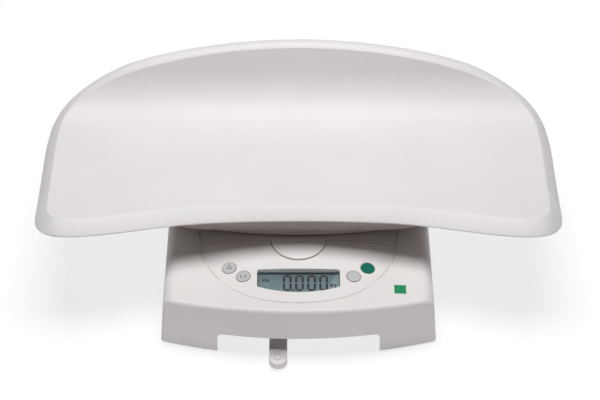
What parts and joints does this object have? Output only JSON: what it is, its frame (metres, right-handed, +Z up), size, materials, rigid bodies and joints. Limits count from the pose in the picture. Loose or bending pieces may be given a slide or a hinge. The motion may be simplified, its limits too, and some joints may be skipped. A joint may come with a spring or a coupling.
{
  "type": "baby scale",
  "caption": "Baby scale with a wide curved lift-off tray on a low housing with a sloped display panel, round keys, a lock lever and screw feet.",
  "frame": {"origin": "floor level under the middle of the whole scale", "axes": "+Z up, front with the keys and the lever at -Y, +X to the right seen from the front"},
  "size_m": [0.552, 0.3438, 0.18],
  "materials": {
    "white_abs": "satin moulded",
    "grey_key": "satin",
    "green_key": "satin",
    "window_clear": "clear",
    "lcd": "reflective liquid crystal",
    "dark_plastic": "moulded",
    "zebra_rubber": "silicone",
    "board_green": "solder resist",
    "steel": "zinc plated",
    "switch_black": "moulded",
    "level_vial": "filled vial",
    "cell_aluminium": "machined",
    "foot_rubber": "moulded",
    "foot_plastic": "moulded",
    "battery_wrap": "printed sleeve",
    "contact_steel": "nickel plated"
  },
  "bodies": {
    "housing": {"top_cover": "white_abs", "platform_plate": "white_abs", "display_window": "window_clear", "lcd_glass": "lcd", "lcd_frame": "dark_plastic", "contact_strips": "zebra_rubber", "circuit_board": "board_green", "board_screws": "steel", "key_switches": "switch_black", "bubble_level": "level_vial", "base_pan": "white_abs", "cover_screws": "steel", "cell_screws": "steel", "battery_contacts": "contact_steel", "load_cell_front_left": "cell_aluminium", "load_cell_front_right": "cell_aluminium", "load_cell_back_left": "cell_aluminium", "load_cell_back_right": "cell_aluminium", "battery_1": "battery_wrap", "battery_2": "battery_wrap", "battery_3": "battery_wrap", "battery_4": "battery_wrap", "battery_5": "battery_wrap", "battery_6": "battery_wrap"},
    "tray": {"tray_shell": "white_abs", "tray_mount": "white_abs", "tray_mount_screws": "steel"},
    "lever": {"lock_lever": "white_abs", "pivot_shaft": "steel", "latch_cam": "dark_plastic", "cam_screw": "steel"},
    "door": {"battery_door": "white_abs"},
    "key_triangle": {"key_triangle": "grey_key"},
    "key_arrows": {"key_arrows": "grey_key"},
    "key_hold": {"key_hold": "grey_key"},
    "key_start": {"key_start": "green_key"},
    "pad_front_left": {"foot_pad_front_left": "foot_rubber"},
    "foot_front_left": {"foot_screw_front_left": "foot_plastic"},
    "pad_front_right": {"foot_pad_front_right": "foot_rubber"},
    "foot_front_right": {"foot_screw_front_right": "foot_plastic"},
    "pad_back_left": {"foot_pad_back_left": "foot_rubber"},
    "foot_back_left": {"foot_screw_back_left": "foot_plastic"},
    "pad_back_right": {"foot_pad_back_right": "foot_rubber"},
    "foot_back_right": {"foot_screw_back_right": "foot_plastic"}
  },
  "joints": [
    {"name": "tray_lift", "type": "slide", "parent": "housing", "child": "tray", "axis": [0, 0, 1], "range_m": [0, 0.08]},
    {"name": "lever_swing", "type": "hinge", "parent": "housing", "child": "lever", "pos_m": [-0.0212, -0.03093, 0.002], "axis": [0, 0, 1], "range_deg": [-20, 0]},
    {"name": "battery_door_slide", "type": "slide", "parent": "housing", "child": "door", "axis": [0, 1, 0], "range_m": [0, 0.11]},
    {"name": "key_triangle_press", "type": "slide", "parent": "housing", "child": "key_triangle", "axis": [0.13, 0.1054, -0.9859], "range_m": [0, 0.0007], "stiffness_N_per_m": 600},
    {"name": "key_arrows_press", "type": "slide", "parent": "housing", "child": "key_arrows", "axis": [0.1032, 0.1057, -0.989], "range_m": [0, 0.0007], "stiffness_N_per_m": 600},
    {"name": "key_hold_press", "type": "slide", "parent": "housing", "child": "key_hold", "axis": [-0.1032, 0.1057, -0.989], "range_m": [0, 0.0007], "stiffness_N_per_m": 600},
    {"name": "key_start_press", "type": "slide", "parent": "housing", "child": "key_start", "axis": [-0.13, 0.1054, -0.9859], "range_m": [0, 0.0007], "stiffness_N_per_m": 600},
    {"name": "foot_rise_front_left", "type": "slide", "parent": "housing", "child": "pad_front_left", "axis": [0, 0, 1], "range_m": [-0.0025, 0.0025]},
    {"name": "foot_turn_front_left", "type": "hinge", "parent": "pad_front_left", "child": "foot_front_left", "pos_m": [-0.114, -0.10693, 0.0025], "axis": [0, 0, 1], "range_deg": [-721, 721]},
    {"name": "foot_rise_front_right", "type": "slide", "parent": "housing", "child": "pad_front_right", "axis": [0, 0, 1], "range_m": [-0.0025, 0.0025]},
    {"name": "foot_turn_front_right", "type": "hinge", "parent": "pad_front_right", "child": "foot_front_right", "pos_m": [0.114, -0.10693, 0.0025], "axis": [0, 0, 1], "range_deg": [-721, 721]},
    {"name": "foot_rise_back_left", "type": "slide", "parent": "housing", "child": "pad_back_left", "axis": [0, 0, 1], "range_m": [-0.0025, 0.0025]},
    {"name": "foot_turn_back_left", "type": "hinge", "parent": "pad_back_left", "child": "foot_back_left", "pos_m": [-0.114, 0.08707, 0.0025], "axis": [0, 0, 1], "range_deg": [-721, 721]},
    {"name": "foot_rise_back_right", "type": "slide", "parent": "housing", "child": "pad_back_right", "axis": [0, 0, 1], "range_m": [-0.0025, 0.0025]},
    {"name": "foot_turn_back_right", "type": "hinge", "parent": "pad_back_right", "child": "foot_back_right", "pos_m": [0.114, 0.08707, 0.0025], "axis": [0, 0, 1], "range_deg": [-721, 721]}
  ],
  "couplings": [
    {"joint": "foot_turn_front_left", "follows": "foot_rise_front_left", "rad_per_m": 5026.5},
    {"joint": "foot_turn_front_right", "follows": "foot_rise_front_right", "rad_per_m": 5026.5},
    {"joint": "foot_turn_back_left", "follows": "foot_rise_back_left", "rad_per_m": 5026.5},
    {"joint": "foot_turn_back_right", "follows": "foot_rise_back_right", "rad_per_m": 5026.5}
  ]
}
